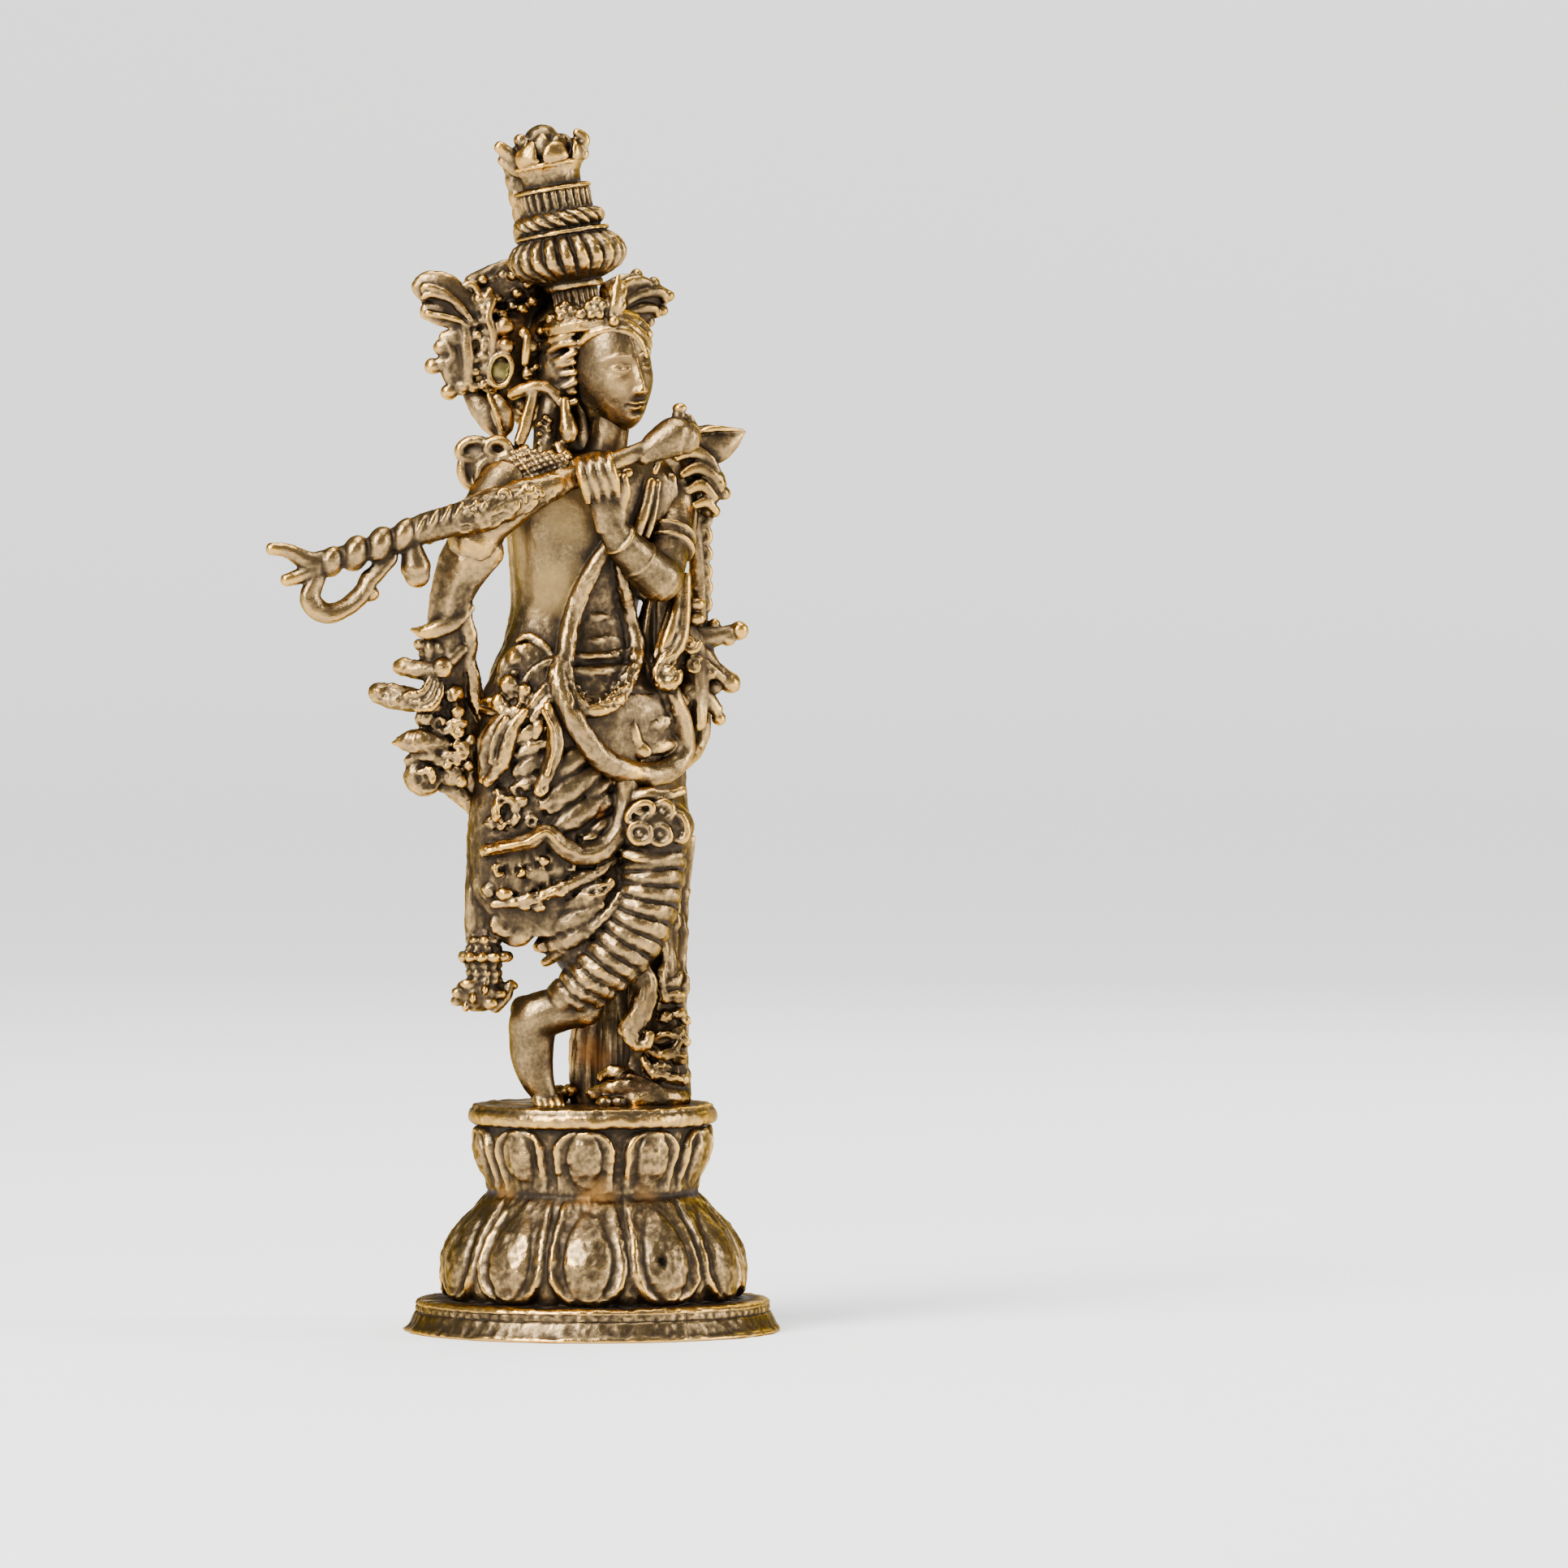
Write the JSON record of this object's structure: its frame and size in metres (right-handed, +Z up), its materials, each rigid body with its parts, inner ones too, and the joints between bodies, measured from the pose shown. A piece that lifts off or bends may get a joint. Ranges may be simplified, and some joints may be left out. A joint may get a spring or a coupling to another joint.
{
  "type": "krishna statue",
  "caption": "Small cast brass statue of a flute player with a tall crown, garlands and crossed legs, standing on a double lotus pedestal with a round base plate.",
  "frame": {"origin": "middle of the flat underside of the base plate", "axes": "+Z up along the height, -Y the way the figure's body faces, +X the figure's left"},
  "size_m": [0.0805, 0.0553, 0.1784],
  "materials": {
    "statue": "antique, dark patina in the recesses, worn bright on the high places"
  },
  "bodies": {
    "root": {"statue": "statue"}
  },
  "joints": []
}
